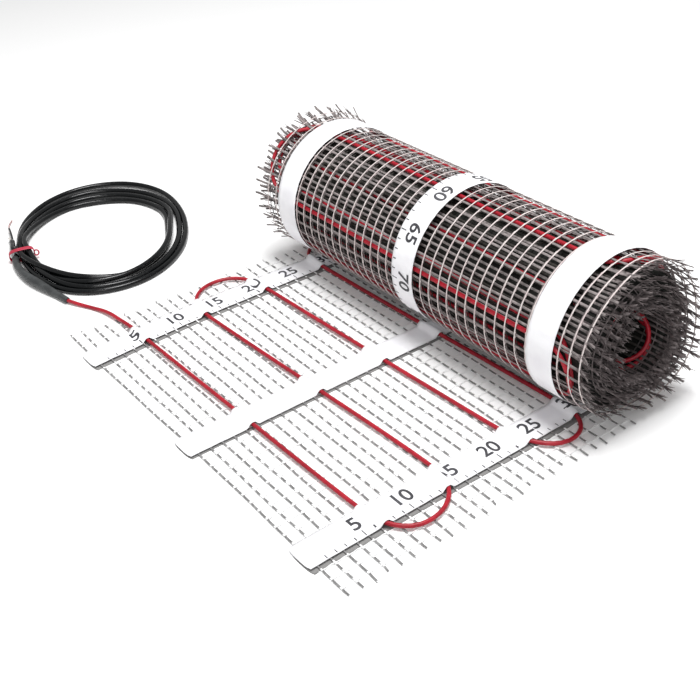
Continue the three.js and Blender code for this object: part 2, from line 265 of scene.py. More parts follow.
# Mesh building
def add_piece(name, parts, materials, smooth=True):
    """One object from (vertices in mat millimetres, faces) parts; each part may name a material."""
    vertices, loops, starts, totals, looks = [], [], [], [], []
    base = 0
    for part in parts:
        points, faces = part[0], part[1]
        look = part[2] if len(part) > 2 else 0
        vertices.append(np.asarray(points, float).reshape(-1, 3))
        for block in faces if isinstance(faces, list) else [faces]:
            block = np.asarray(block, np.int64)
            starts.append(np.arange(len(block)) * block.shape[1] + sum(len(a) for a in loops))
            totals.append(np.full(len(block), block.shape[1]))
            looks.append(np.full(len(block), look))
            loops.append(block.ravel() + base)
        base += len(vertices[-1])
    mesh = bpy.data.meshes.new(name)
    points = to_frame(np.concatenate(vertices))
    corner, start, total = np.concatenate(loops), np.concatenate(starts), np.concatenate(totals)
    mesh.vertices.add(len(points))
    mesh.vertices.foreach_set("co", points.ravel())
    mesh.loops.add(len(corner))
    mesh.loops.foreach_set("vertex_index", corner)
    mesh.polygons.add(len(start))
    mesh.polygons.foreach_set("loop_start", start)
    mesh.polygons.foreach_set("loop_total", total)
    mesh.polygons.foreach_set("material_index", np.concatenate(looks))
    mesh.polygons.foreach_set("use_smooth", np.full(len(start), smooth))
    mesh.update(calc_edges=True)
    mesh.validate()
    for material in materials if isinstance(materials, list) else [materials]:
        mesh.materials.append(material)
    piece = bpy.data.objects.new(name, mesh)
    bpy.context.scene.collection.objects.link(piece)
    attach(piece, "root")
    return piece


def sweep(centres, side, up, section):
    """Threads: centres is (threads, stations, 3), side and up their axes, section (corners, 2)."""
    threads, stations, _ = centres.shape
    corners = len(section)
    offset = (section[:, 0, None] * side[..., None, :] + section[:, 1, None] * up[..., None, :])
    points = centres[:, :, None, :] + offset
    index = np.arange(threads * stations * corners).reshape(threads, stations, corners)
    following = np.roll(index, -1, axis=2)
    walls = np.stack(
        [index[:, :-1], following[:, :-1], following[:, 1:], index[:, 1:]], axis=-1
    ).reshape(-1, 4)
    ends = [index[:, 0, ::-1].reshape(-1, corners), index[:, -1].reshape(-1, corners)]
    return points.reshape(-1, 3), [walls, *ends]


def oval(width, height, corners=6):
    angle = (np.arange(corners) + 0.5) / corners * 2 * math.pi
    return np.stack([width / 2 * np.cos(angle), height / 2 * np.sin(angle)], axis=1)


def directions(path):
    step = np.gradient(path, axis=0)
    return step / np.linalg.norm(step, axis=1, keepdims=True)


def tube(path, diameter, corners=12):
    """A tube along a path, with its section carried along without twist. Its ends are rounded."""
    path = np.asarray(path, float)
    forward = directions(path)
    up = np.zeros_like(path)
    start = np.array([0.0, 0.0, 1.0])
    for i, ahead in enumerate(forward):
        start = start - ahead * (start @ ahead)
        start /= np.linalg.norm(start)
        up[i] = start
    side = np.cross(forward, up)
    radius = np.broadcast_to(np.asarray(diameter, float) / 2, len(path))[:, None]
    before = [path[0] - forward[0] * radius[0] * k for k in (0.2, 0.12)]
    after = [path[-1] + forward[-1] * radius[-1] * k for k in (0.12, 0.2)]
    centres = np.concatenate([before, path, after])
    shrink = np.concatenate([[0.6, 0.9], np.ones(len(path)), [0.9, 0.6]])[:, None]
    sides = np.pad(side * radius, ((2, 2), (0, 0)), "edge") * shrink
    ups = np.pad(up * radius, ((2, 2), (0, 0)), "edge") * shrink
    return sweep(centres[None], sides[None], ups[None], oval(2, 2, corners))


def smooth_path(points, spacing):
    """A Catmull-Rom curve through the points, sampled about every spacing millimetres."""
    points = np.asarray(points, float)
    padded = np.concatenate([[2 * points[0] - points[1]], points, [2 * points[-1] - points[-2]]])
    made = []
    for i in range(1, len(padded) - 2):
        a, b, c, d = padded[i - 1:i + 3]
        count = max(1, int(round(np.linalg.norm(c - b) / spacing)))
        t = (np.arange(count) / count)[:, None]
        made.append(0.5 * (2 * b + (c - a) * t + (2 * a - 5 * b + 4 * c - d) * t ** 2
                           + (3 * b - a - 3 * c + d) * t ** 3))
    return np.concatenate([*made, points[-1:]])


# Roll geometry: a place along the rolled net to a point, and the direction out of the roll
ANGLES_A_TURN = 360
ROLL_ANGLES = np.linspace(0, TURNS * 2 * math.pi, TURNS * ANGLES_A_TURN + 1)


def net_radius(angle):
    turn, part = np.divmod(angle, 2 * math.pi)
    share = np.clip((part - STEP_START) / (2 * math.pi - STEP_START), 0, 1)
    return ROLL_NET_RADIUS - TURN_PITCH * (turn + share * share * (3 - 2 * share))


ROLL_RADII = net_radius(ROLL_ANGLES - 1e-9 * (ROLL_ANGLES > 0))
ROLL_ALONG = np.concatenate([[0], np.cumsum(np.hypot(
    np.diff(ROLL_RADII), (ROLL_RADII[1:] + ROLL_RADII[:-1]) / 2 * np.diff(ROLL_ANGLES)))])
ROLLED_LENGTH = float(ROLL_ALONG[-1])


# The roll's ends flare: how far the net stands out there, by the angle from the roll's lowest line
END_ANGLES = np.radians([0, 12, 32, 51, 65, 80, 99, 126, 151, 167, 182, 215, 260, 314, 342, 360])
RIGHT_FLARE = [-11, -9, -2, 6, 5, -2, -7, -6, 2, 6, 8, 5, 2, -4, -11, -11]
LEFT_FLARE = [0, 0, 3, 4, 5, 5, 6, 7, 7, 7, 7, 6, 5, 3, 1, 0]
RIGHT_FLARE_START, LEFT_FLARE_START, FLARE_REACH = 203.0, -205.0, 38.0

# How far each turn has wandered sideways against the outermost one
WANDER_ANGLES = np.radians([0, 290, 380, 650, 740, 1010, 1100, 1400, 1700, 2000, 2400, 2880])
WANDER = [0, 0, -5, -5, -9, -9, -4, -1, 2, -2, 0, 1]


def rolled(across, along, inwards=0.0):
    """Points of the mat at (across, along), with along counted from the roll's lowest line:
    before it the mat lies flat, and after it the mat is rolled. inwards is the height over the
    net's middle. Returns the points and the directions that lead out of the net's underside."""
    along = np.asarray(along, float)
    across = np.broadcast_to(np.asarray(across, float), along.shape)
    inwards = np.broadcast_to(np.asarray(inwards, float), along.shape)
    flat = along < 0
    angle = np.interp(along, ROLL_ALONG, ROLL_ANGLES)
    part = np.mod(angle, 2 * math.pi)
    right = np.clip((across - RIGHT_FLARE_START) / FLARE_REACH, 0, 1.2) ** 1.6
    left = np.clip((LEFT_FLARE_START - across) / FLARE_REACH, 0, 1.2) ** 1.6
    flare = right * np.interp(part, END_ANGLES, RIGHT_FLARE) + left * np.interp(part, END_ANGLES, LEFT_FLARE)
    radius = np.interp(along, ROLL_ALONG, ROLL_RADII)
    radius = radius + flare * radius / ROLL_NET_RADIUS - inwards
    x = across + np.where(flat, 0, np.interp(angle, WANDER_ANGLES, WANDER))
    y = np.where(flat, ROLL_AXIS_Y + along, ROLL_AXIS_Y + radius * np.sin(angle))
    z = np.where(flat, NET_LEVEL + inwards, ROLL_LEVEL - radius * np.cos(angle))
    out = np.stack([np.zeros_like(angle), np.where(flat, 0, np.sin(angle)),
                    np.where(flat, -1, -np.cos(angle))], axis=-1)
    return np.stack([x, y, z], axis=-1), out


def at_angle(turn, degrees):
    return float(np.interp((turn + degrees / 360) * 2 * math.pi, ROLL_ANGLES, ROLL_ALONG))


# Camera at the photograph's viewing angle; the picture is 700 x 700
PICTURE = 700
FOCAL_PIXELS = 1105.5
SENSOR = 36.0
camera_data = bpy.data.cameras.new("camera")
camera_data.sensor_width = SENSOR
camera_data.lens = FOCAL_PIXELS / PICTURE * SENSOR
camera_data.clip_end = 100
camera = bpy.data.objects.new("camera", camera_data)
bpy.context.scene.collection.objects.link(camera)
CAMERA_PLACE = (743.94, -335.54, 617.42)
CAMERA_FORWARD = np.array([-0.685264, 0.480781, -0.547048])
CAMERA_DOWN = np.array([0.408679, -0.367880, -0.835252])
camera_right = np.cross(CAMERA_DOWN, CAMERA_FORWARD)
camera_pose = Matrix.Identity(4)
camera_axes = (camera_right, -CAMERA_DOWN, -CAMERA_FORWARD, to_frame(CAMERA_PLACE))
for column, axis in enumerate(camera_axes):
    for row in range(3):
        camera_pose[row][column] = axis[row]
camera.matrix_world = camera_pose
bpy.context.scene.camera = camera

# Splice sleeve between the red lead-in and the black lead
SLEEVE_ROUTE = [
    (-450.9, 22.8, 6.2), (-438, 18.6, 6.2), (-424, 16.2, 6.2), (-408, 15, 6.3), (-392, 15.6, 6.5),
    (-376, 17.7, 6.4), (-358, 21, 5.6), (-338, 25, 4.6), (-318, 28.3, 4.2),
]
SLEEVE_DIAMETERS = [8, 8.2, 8.8, 10, 11.2, 10.8, 9.2, 7.8, 7]


def splice_sleeve():
    path = smooth_path(SLEEVE_ROUTE, 3)
    share = np.linspace(0, len(SLEEVE_ROUTE) - 1, len(path))
    width = np.interp(share, range(len(SLEEVE_ROUTE)), SLEEVE_DIAMETERS)
    width = width + 0.12 * np.sin(np.arange(len(path)) * 1.9)
    piece = add_piece("splice_sleeve_skin", [tube(path, width, 20)], SLEEVE)
    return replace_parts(piece, "splice_sleeve")


sleeve = splice_sleeve()

# Red lead-in, free between the splice and the left tape
LEAD_IN_ROUTE = [
    (-216.4, 55.8, 4.3), (-229, 54.5, 4.4), (-242, 53.1, 4.4), (-257, 51.4, 4.4), (-270, 49, 3.5),
    (-283, 44.8, 2.4), (-294, 39.8, 2.4), (-306, 33.7, 3.2), (-317.2, 28.7, 4.2),
]


def red_lead_in():
    path = smooth_path(LEAD_IN_ROUTE, 2.5)
    piece = add_piece("cable_lead_in_red", [tube(path, CABLE, 14)], RED_CABLE)
    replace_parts(piece, "cable_lead_in")


red_lead_in()

# Black lead: four turns of an oval coil. Each strand has its own place beside the coil's middle
# line, as (angle round the coil, sideways, height) with sideways growing outwards.
COIL_CENTRE = (-434.0, 132.0)
COIL_ANGLE = math.radians(-23.3)
COIL_LONG, COIL_SHORT = 124.0, 94.0
TIE_ANGLE = -80.0
STRANDS = {
    "outer": [(265, 9.8, 4.2), (240, 17.5, 3.7), (210, 27, 4), (188, 30, 4.6), (165, 29, 4.8),
              (142, 23, 4.4), (112, 11, 4), (85, 6, 4), (50, 7.4, 3.8), (15, 12, 3.7),
              (-20, 14.6, 3.7), (-50, 8.6, 4), (-80, 5.5, 4.6)],
    "second": [(265, 7, 10.9), (240, 11, 6), (210, 13.5, 3.8), (188, 12.5, 3.8), (165, 9.5, 3.8),
               (142, 8, 4), (112, 3.8, 5.2), (85, -1.6, 4), (50, -0.4, 4.4), (15, 4.6, 4.4),
               (-20, 8.6, 6.6), (-50, 2.2, 8.2), (-80, -1.8, 4.2)],
    "third": [(265, 2.1, 4.2), (240, 3.4, 3.7), (210, 1.5, 3.6), (188, -3, 3.6), (165, -4, 3.6),
              (142, -3, 3.8), (112, -3.8, 6.8), (85, -12.4, 10.6), (50, -9, 10.4), (15, -4.6, 8.8),
              (-20, 1.6, 9), (-50, -4.6, 4.6), (-80, -2.2, 11.2)],
    "inner": [(265, 2.1, 11.3), (240, -3.6, 6.4), (210, -11.5, 3.6), (188, -19, 3.6),
              (165, -19.6, 3.6), (142, -14.5, 3.6), (112, -10.6, 4), (85, -16, 4), (50, -10.8, 4),
              (15, -9.6, 5.4), (-20, -5.4, 11.6), (-50, -3.4, 11.6), (-80, 9.4, 11.9)],
}
TAIL_ROUTE = [(-463.5, 27.2, 11.6), (-473, 29.6, 10.6), (-482, 32.6, 9.2), (-492.3, 36.1, 8)]


def coil_point(degrees, sideways, height):
    t = math.radians(degrees)
    place = np.array([COIL_LONG * math.cos(t), COIL_SHORT * math.sin(t)])
    outward = np.array([math.cos(t) / COIL_LONG, math.sin(t) / COIL_SHORT])
    place = place + outward / np.linalg.norm(outward) * sideways
    cos, sin = math.cos(COIL_ANGLE), math.sin(COIL_ANGLE)
    return np.array([COIL_CENTRE[0] + place[0] * cos - place[1] * sin,
                     COIL_CENTRE[1] + place[0] * sin + place[1] * cos, height])


def lead_path():
    keys = [(280.0, 15.7, 6.2)]
    for turn, strand in enumerate(STRANDS.values()):
        keys += [(degrees - 360 * turn, sideways, height) for degrees, sideways, height in strand]
    keys = smooth_path(keys, 8)
    path = [coil_point(*key) for key in keys]
    return smooth_path([SLEEVE_ROUTE[0], *path[2:], *TAIL_ROUTE], 3.5)


def black_lead(with_pieces):
    path = lead_path()
    piece = add_piece("cold_lead_black", [tube(path, LEAD, 14)], BLACK_LEAD)
    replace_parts(piece, "cold_lead_coil", "cold_lead_tail")


# Stripped end of the lead
DARK_CORE_ROUTE = [(-490.5, 36.6, 8.8), (-507, 41.8, 7.8), (-521, 45.9, 6.8), (-535.2, 49.5, 5.5)]
LIGHT_CORE_ROUTE = [(-490.5, 34.4, 7.2), (-501, 37, 6.6), (-509, 38.8, 5.6)]
CONDUCTOR_ROUTE = [(-534, 49.2, 5.6), (-545, 53, 4.2), (-554, 58, 3), (-562.8, 64, 1.6)]


def stripped_end():
    made = []
    for name, route, width, material, slot in (
        ("core_dark", DARK_CORE_ROUTE, 2.8, BLACK_LEAD, "core_dark"),
        ("core_light", LIGHT_CORE_ROUTE, 2.8, LIGHT_CORE, "core_light"),
        ("core_conductor", CONDUCTOR_ROUTE, 1.5, CONDUCTOR, "conductor"),
    ):
        piece = add_piece(name + "_wire", [tube(smooth_path(route, 2), width, 12)], material)
        made.append(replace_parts(piece, name))
    return made


TIE_WIDTH, TIE_THICKNESS = 4.4, 1.1
TIE_OUTER_REACH, TIE_INNER_REACH = 19.4, 9.6
TIE_MIDDLE_HEIGHT, TIE_HALF_HEIGHT = 8.0, 7.2
TIE_SIDEWAYS = 1.6
TIE_SQUARENESS = 0.62


def squared(wave):
    """A sine or cosine drawn out towards a square wave."""
    return np.sign(wave) * np.abs(wave) ** TIE_SQUARENESS


def tie_band():
    """A flat plastic tie wound twice round the bundle, its twisted ends turned inwards."""
    centre = coil_point(TIE_ANGLE, 0, 0)
    outward = coil_point(TIE_ANGLE, 1, 0) - centre
    along = np.array([-outward[1], outward[0], 0.0])
    parts = []
    for shift, grow in ((-2.1, 0.0), (2.1, 0.35)):
        turn = np.linspace(0, 2 * math.pi, 49)
        reach = np.where(np.cos(turn) > 0, TIE_OUTER_REACH, TIE_INNER_REACH) + grow
        sideways = TIE_SIDEWAYS + reach * squared(np.cos(turn))
        height = TIE_MIDDLE_HEIGHT + (TIE_HALF_HEIGHT + grow) * squared(np.sin(turn))
        lean = shift + 0.5 * np.sin(turn)
        path = centre + outward * sideways[:, None] + along * lean[:, None]
        path[:, 2] = height
        side = along * np.ones((len(path), 1))
        normal = np.cross(directions(path), side)
        parts.append(sweep(path[None], side[None], normal[None], oval(TIE_WIDTH, TIE_THICKNESS, 8)))
    turn = np.linspace(0.15 * math.pi, 1.9 * math.pi, 25)
    loop = centre + outward * (-10.6 + 2.6 * np.cos(turn))[:, None] + along * (0.8 * turn)[:, None]
    loop[:, 2] = 7.5 + 2.8 * np.sin(turn)
    parts.append(tube(loop, 1.8, 10))
    piece = add_piece("coil_tie_band", parts, TIE)
    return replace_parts(piece, "coil_tie")


black_lead([tie_band(), *stripped_end()])

# Heating cable on the flat stretch, then on through the roll
CABLE_PLAN = [
    (-216, 55.8), (-185, 56.5), (-100, 58), (0, 60), (100, 62), (168, 64),
    (186, 66), (201, 70), (213, 78), (220.5, 90), (221.5, 105), (217, 120), (208, 132), (198, 139),
    (186, 142.5), (168, 145), (100, 143), (0, 138), (-100, 133), (-168, 130),
    (-186, 130), (-204, 132.5), (-219, 137.5), (-231, 148), (-238, 162), (-239, 178), (-233, 193),
    (-221, 203), (-207, 207.5),
    (-190, 209), (-168, 210.5), (-100, 213), (0, 217), (100, 221.5), (168, 225),
    (184, 228), (198, 233), (212, 241.5), (221, 253), (223, 267), (218, 280), (208, 289), (196, 293.5),
    (182, 295), (160, 294.7), (100, 293), (0, 290), (-100, 287.5), (-180, 286), (-206, 286.5),
    (-222, 292), (-232, 303), (-237, 318),
]
# Where the cable crosses the rolled mat, as (turn, degrees from the roll's lowest line): the outer
# runs, then the hidden ones, evenly spaced, then those at the bore
OUTER_RUNS = [
    (0, 22), (0, 77), (0, 132), (0, 190.5), (0, 259.4), (0, 304),
    (1, 0.5), (1, 62), (1, 124), (1, 176), (1, 250), (1, 306),
    (2, 4), (2, 60), (2, 115), (2, 168), (2, 222), (2, 285),
]
HIDDEN_RUNS = 14
BORE_RUNS = [(6, -8), (6, 85), (6, 178), (6, 268), (7, 0), (7, 105)]
LAST_FLAT_RUN = -42.0
# Where the loops start across the mat and how far they reach, at its right (1) and left (-1)
LOOPS = {1: (186.0, 34.0), -1: (-200.0, 40.0)}
RUN_SHARES = (0.06, 0.2, 0.35, 0.5, 0.65, 0.8, 0.94)


def cable_runs():
    """Where the cable crosses the mat, counted along it from the roll's lowest line."""
    outer = [at_angle(*place) for place in OUTER_RUNS]
    bore = [at_angle(*place) for place in BORE_RUNS]
    return [*outer, *np.linspace(outer[-1], bore[0], HIDDEN_RUNS + 2)[1:-1], *bore]


def cable_path():
    flat = smooth_path([(x, y, 0) for x, y in CABLE_PLAN], 6)
    across, along = list(flat[:, 0]), list(flat[:, 1] - ROLL_AXIS_Y)
    runs = cable_runs()
    side = -1
    before = LAST_FLAT_RUN
    for place in runs:
        start, reach = LOOPS[side]
        middle, half = (before + place) / 2, (place - before) / 2
        turn = np.linspace(-90, 90, 25)
        if before < 0:
            turn = turn[turn > -4]
        swell = random.uniform(-3, 3)
        across += list(start + side * (reach + swell) * np.cos(np.radians(turn)) ** 0.8)
        along += list(middle + half * np.sin(np.radians(turn)))
        wander = random.uniform(-2.5, 2.5)
        run_end = LOOPS[-side][0]
        for share in RUN_SHARES:
            across.append(start + (run_end - start) * share)
            along.append(place + wander * math.sin(share * 5))
        side, before = -side, place
    return np.array(across), np.array(along)


def heating_cable():
    across, along = cable_path()
    place, _ = rolled(across, along, CABLE_LEVEL - NET_LEVEL)
    order = np.concatenate([[True], np.linalg.norm(np.diff(place, axis=0), axis=1) > 0.5])
    path = smooth_path(place[order], 7)
    piece = add_piece("heating_cable_run", [tube(path, CABLE, 10)], RED_CABLE)
    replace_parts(piece, "heating_cable")


heating_cable()


# Net
LOWEST = 0.5
WEFT_HEIGHT = 0.35
COARSE_STATIONS = 9


def weft_threads(along, detailed, splay, curl):
    """Wefts at the given places along the mat, on the net's upper side, with their cut ends, which
    curl along the mat and splay out of it."""
    along = np.asarray(along, float)
    count = len(along)
    first, last = FIRST_WARP * MESH, LAST_WARP * MESH
    stations = 2 * (LAST_WARP - FIRST_WARP) + 1 if detailed else COARSE_STATIONS
    inner = np.linspace(first, last, stations)
    rows = np.array([0.35, 0.7, 1.0])
    left = first - (first - LEFT_TIP + random.uniform(-5, 2.5, count))[:, None] * rows
    right = last + (RIGHT_TIP - last + random.uniform(-1, 6, count))[:, None] * rows
    across = np.concatenate([left[:, ::-1], np.broadcast_to(inner, (count, len(inner))), right], 1)
    wave = random.uniform(0, 6.28, (count, 1))
    size = random.uniform(0.2, 0.9, (count, 1))
    drift = size * np.sin(across / 55 + wave) + 0.25 * np.sin(across / 17 + 2 * wave)
    height = np.full(across.shape, WEFT_HEIGHT)
    if detailed:
        height += 0.12 * np.cos(across / MESH * 2 * math.pi)
    bend = random.uniform(-curl, curl, (count, 2))
    for end, columns in enumerate((slice(2, None, -1), slice(-3, None))):
        drift[:, columns] += bend[:, end, None] * rows[None] ** 1.5
        height[:, columns] -= (random.uniform(0.0, 1.0, (count, 1)) * splay[end]) * rows[None] ** 1.5
    place, out = rolled(across, along[:, None] + drift, height)
    ahead, _ = rolled(across, along[:, None] + drift + 1.0, height)
    side = ahead - place
    side /= np.linalg.norm(side, axis=-1, keepdims=True)
    place[..., 2] = np.maximum(place[..., 2], LOWEST)
    return place, side, out


def frayed_ends(along, end, strands):
    """Loose strands that splay from each weft's end at the roll's left (-1) or right (1) end."""
    start = (LAST_WARP if end > 0 else FIRST_WARP) * MESH - end * 4.0
    tip = RIGHT_TIP + 3.0 if end > 0 else LEFT_TIP + 2.0
    along = np.repeat(np.asarray(along, float), strands)
    count = len(along)
    rows = np.array([0.0, 0.35, 0.7, 1.0])
    reach = tip - start + random.uniform(-8, 3, count) * end
    spread = random.uniform(-4.0, 4.0, count)
    lift = random.uniform(-2.5, 2.5, count)
    across = start + reach[:, None] * rows
    drift = random.uniform(-0.8, 0.8, count)[:, None] + spread[:, None] * rows ** 1.4
    place, out = rolled(across, along[:, None] + drift, WEFT_HEIGHT + lift[:, None] * rows ** 1.4)
    side = np.cross(np.broadcast_to([1.0, 0.0, 0.0], out.shape), out)
    place[..., 2] = np.maximum(place[..., 2], LOWEST)
    taper = np.array([1.0, 0.95, 0.75, 0.3])[None, :, None]
    return place, side * taper, out * taper


def warp_threads(warps, along, height=-0.3):
    """Warps at the given counts of mesh pitches from the middle, on the net's underside."""
    along = np.asarray(along, float)
    across = np.asarray(warps, float)[:, None] * MESH
    wave = random.uniform(0, 6.28, across.shape)
    across = across + 0.35 * np.sin(along[None] / 70 + wave) + 0.2 * np.sin(along[None] / 23 + 2 * wave)
    place, out = rolled(across, np.broadcast_to(along, across.shape), height)
    side = np.zeros_like(place)
    side[..., 0] = 1.0
    return place, side, out


def binding_threads(warps, wefts):
    """The thin second thread of each warp, which steps over every weft from side to side."""
    steps = np.arange(len(wefts) * 4)
    pitch = np.interp(steps / 4, np.arange(len(wefts)), wefts)
    sideways = 0.75 * np.sin(steps * math.pi / 2 + math.pi / 4)
    height = np.where(steps % 4 == 0, 0.78, np.where(steps % 2 == 1, 0.2, -0.2))
    across = np.asarray(warps, float)[:, None] * MESH + sideways
    place, out = rolled(across, np.broadcast_to(pitch, across.shape), np.broadcast_to(height, across.shape))
    side = np.zeros_like(place)
    side[..., 0] = 1.0
    return place, side, out


WARPS = [*range(FIRST_WARP, LAST_WARP + 1)]
# On the flat stretch this one lies hidden under the left tape's edge
HIDDEN_WARP = -14
WEFT_SECTION = oval(1.9, 0.7)
ROLLED_WEFT_SECTION = oval(2.7, 0.7)
WARP_SECTION = oval(1.5, 0.5)
FLAT_WARP_SECTION = oval(1.1, 0.35)
FLAT_WARP_HEIGHT = -0.7
BINDING_SECTION = oval(0.7, 0.45, 4)
STRAND_SECTION = oval(1.1, 0.9, 5)
WEFTS_A_TURN, WARP_STEPS_A_TURN = 37, 72
RIGHT_STRANDS, LEFT_STRANDS = 7, 4
NET_END_MARGIN = 6.0


def flat_net():
    wefts = MESH * np.arange(FLAT_WEFTS) - ROLL_AXIS_Y
    along = np.arange(WARP_START - ROLL_AXIS_Y, 0.1, MESH / 2)
    warps = [j for j in WARPS if j != HIDDEN_WARP]
    parts = [
        (*sweep(*weft_threads(wefts, True, (0.8, 0.6), 0.9), WEFT_SECTION), 0),
        (*sweep(*warp_threads(warps, along, FLAT_WARP_HEIGHT), FLAT_WARP_SECTION), 1),
        (*sweep(*binding_threads(warps, wefts), BINDING_SECTION), 1),
    ]
    piece = add_piece("net_flat_threads", parts, [WEFT, FLAT_WARP_PAINTED_LIGHT])
    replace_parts(piece, "net_left_fringe", "net_left_field", "net_right_field", "net_right_fringe")


def rolled_net():
    """The rolled turns. The wefts of each turn lie at the first one's angles, moved by a phase in
    meshes, so that those of the two outer turns step between each other."""
    first = MESH * FLAT_WEFTS - ROLL_AXIS_Y
    turn_ends = [at_angle(turn, 0) for turn in range(TURNS + 1)]
    edges = WARPS[:4] + WARPS[-4:]
    inner = [INNER_YARN_PAINTED_SHADE, INNER_YARN_PAINTED_SHADE, FRAYED_YARN]
    for name, turns, phase, detailed, yarn, warps in (
        ("net_roll_outer_turn", (0, 1), 0.0, True, [ROLLED_WEFT, WARP, FRAYED_YARN], WARPS),
        ("net_roll_second_turn", (1, 2), 0.5, True, [ROLLED_WEFT, SECOND_WARP_PAINTED_SHADE, FRAYED_YARN], WARPS),
        ("net_roll_third_turn", (2, 3), 0.0, False, inner, WARPS),
        ("net_roll_fourth_turn", (3, 4), 0.5, False, inner, WARPS),
        ("net_roll_inner_turns", (4, 7), 0.0, False, inner, edges),
        ("net_roll_bore_turn", (7, 8), 0.5, False, inner, WARPS),
    ):
        angles = np.interp(first + phase * MESH + MESH * np.arange(WEFTS_A_TURN), ROLL_ALONG, ROLL_ANGLES)
        turn_angles = angles[None] + 2 * math.pi * np.arange(*turns)[:, None]
        wefts = np.interp(turn_angles.ravel(), ROLL_ANGLES, ROLL_ALONG)
        wefts = wefts[wefts < ROLLED_LENGTH - NET_END_MARGIN]
        steps = WARP_STEPS_A_TURN * (turns[1] - turns[0])
        along = np.linspace(turn_ends[turns[0]], turn_ends[turns[1]], steps + 1)
        parts = [
            (*sweep(*weft_threads(wefts, detailed, (5.0, 4.0), 2.2), ROLLED_WEFT_SECTION), 0),
            (*sweep(*warp_threads(warps, along), WARP_SECTION), 1),
            (*sweep(*frayed_ends(wefts, 1, RIGHT_STRANDS), STRAND_SECTION), 2),
            (*sweep(*frayed_ends(wefts, -1, LEFT_STRANDS), STRAND_SECTION), 2),
        ]
        if detailed:
            parts.append((*sweep(*binding_threads(warps, wefts), BINDING_SECTION), 1))
        piece = add_piece(name, parts, yarn)
        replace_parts(piece, "mat_roll")


flat_net()
rolled_net()

# Dark body of the hidden inner turns, its near-black colour painted shade: slim in the middle, full at the
# ends, where ridges show
CORE_BORE, CORE_WAIST, CORE_RIM = 42.2, 61.0, 66.5
CORE_WAIST_END, CORE_RIM_START, CORE_END = 190.0, 202.0, 222.0
CORE_RIDGES, RIDGE_HEIGHT = 4, 4.0


def roll_core():
    end = [(CORE_RIM, CORE_RIM_START), (CORE_WAIST, CORE_WAIST_END)]
    pitch = (CORE_RIM - CORE_BORE) / CORE_RIDGES
    for ridge in range(CORE_RIDGES):
        valley = CORE_BORE + ridge * pitch
        end[ridge * 2:ridge * 2] = [(valley, CORE_END), (valley + pitch / 2, CORE_END + RIDGE_HEIGHT)]
    end.insert(CORE_RIDGES * 2, (CORE_RIM, CORE_END))
    profile = end + [(radius, -x) for radius, x in reversed(end)]
    turn = np.linspace(0, 2 * math.pi, 73)[:-1]
    points = np.array([[(x, ROLL_AXIS_Y + r * math.sin(t), ROLL_LEVEL - r * math.cos(t))
                        for r, x in profile] for t in turn])
    index = np.arange(points.shape[0] * points.shape[1]).reshape(points.shape[:2])
    onward, across = np.roll(index, -1, 0), np.roll(index, -1, 1)
    faces = np.stack([index, across, np.roll(across, -1, 0), onward], axis=-1).reshape(-1, 4)
    add_piece("roll_hidden_turns", [(points.reshape(-1, 3), faces)], CORE_PAINTED_SHADE, False)


roll_core()


# Tapes, each a grid of rows along it and columns across it
TAPE_ROW = 2.0
TAPE_COLUMNS = 9
HUMP_HEIGHT, HUMP_CREST, HUMP_SLOPE = 4.45, 1.5, 5.6
CORNER_DEPTH = 2.0
UPPER_FILM, LOWER_FILM = 0.3, 0.35
LOWER_TAPE_ROW, RING_ROWS = 3.0, 180


def cable_crossings(across):
    """Where the cable passes under a tape at this place across the mat."""
    plan = smooth_path([(x, y, 0) for x, y in CABLE_PLAN], 4)
    found = []
    for (x0, y0, _), (x1, y1, _) in zip(plan[:-1], plan[1:]):
        if (x0 <= across) != (x1 <= across):
            found.append(y0 + (y1 - y0) * (across - x0) / (x1 - x0))
    return found


def strip(grid, thickness, out):
    """A closed thin strip from a grid of points, thick towards out."""
    rows, columns, _ = grid.shape
    lower = grid + out * thickness
    points = np.concatenate([grid.reshape(-1, 3), lower.reshape(-1, 3)])
    index = np.arange(rows * columns).reshape(rows, columns)
    top = np.stack([index[:-1, :-1], index[:-1, 1:], index[1:, 1:], index[1:, :-1]], -1).reshape(-1, 4)
    bottom = top[:, ::-1] + rows * columns
    rim = np.concatenate([index[0], index[1:, -1], index[-1, -2::-1], index[-2:0:-1, 0]])
    following = np.roll(rim, -1)
    wall = np.stack([following, rim, rim + rows * columns, following + rows * columns], -1)
    return points, [top, bottom, wall]


def rounded_tape_end(grid):
    """Rounds the corners of a tape's free end, which is the grid's first row."""
    share = np.linspace(-1, 1, grid.shape[1])
    for row, depth in enumerate((1.0, 0.35)):
        grid[row, :, 1] += depth * CORNER_DEPTH * np.abs(share) ** 4
    return grid


def tape_lean(side, y):
    """How far a tape strays towards +X near its free end."""
    return TAPE_LEAN[side] * np.clip((TAPE_LEAN_END - y) / (TAPE_LEAN_END - TAPE_FREE_END), 0, 1) ** 1.6


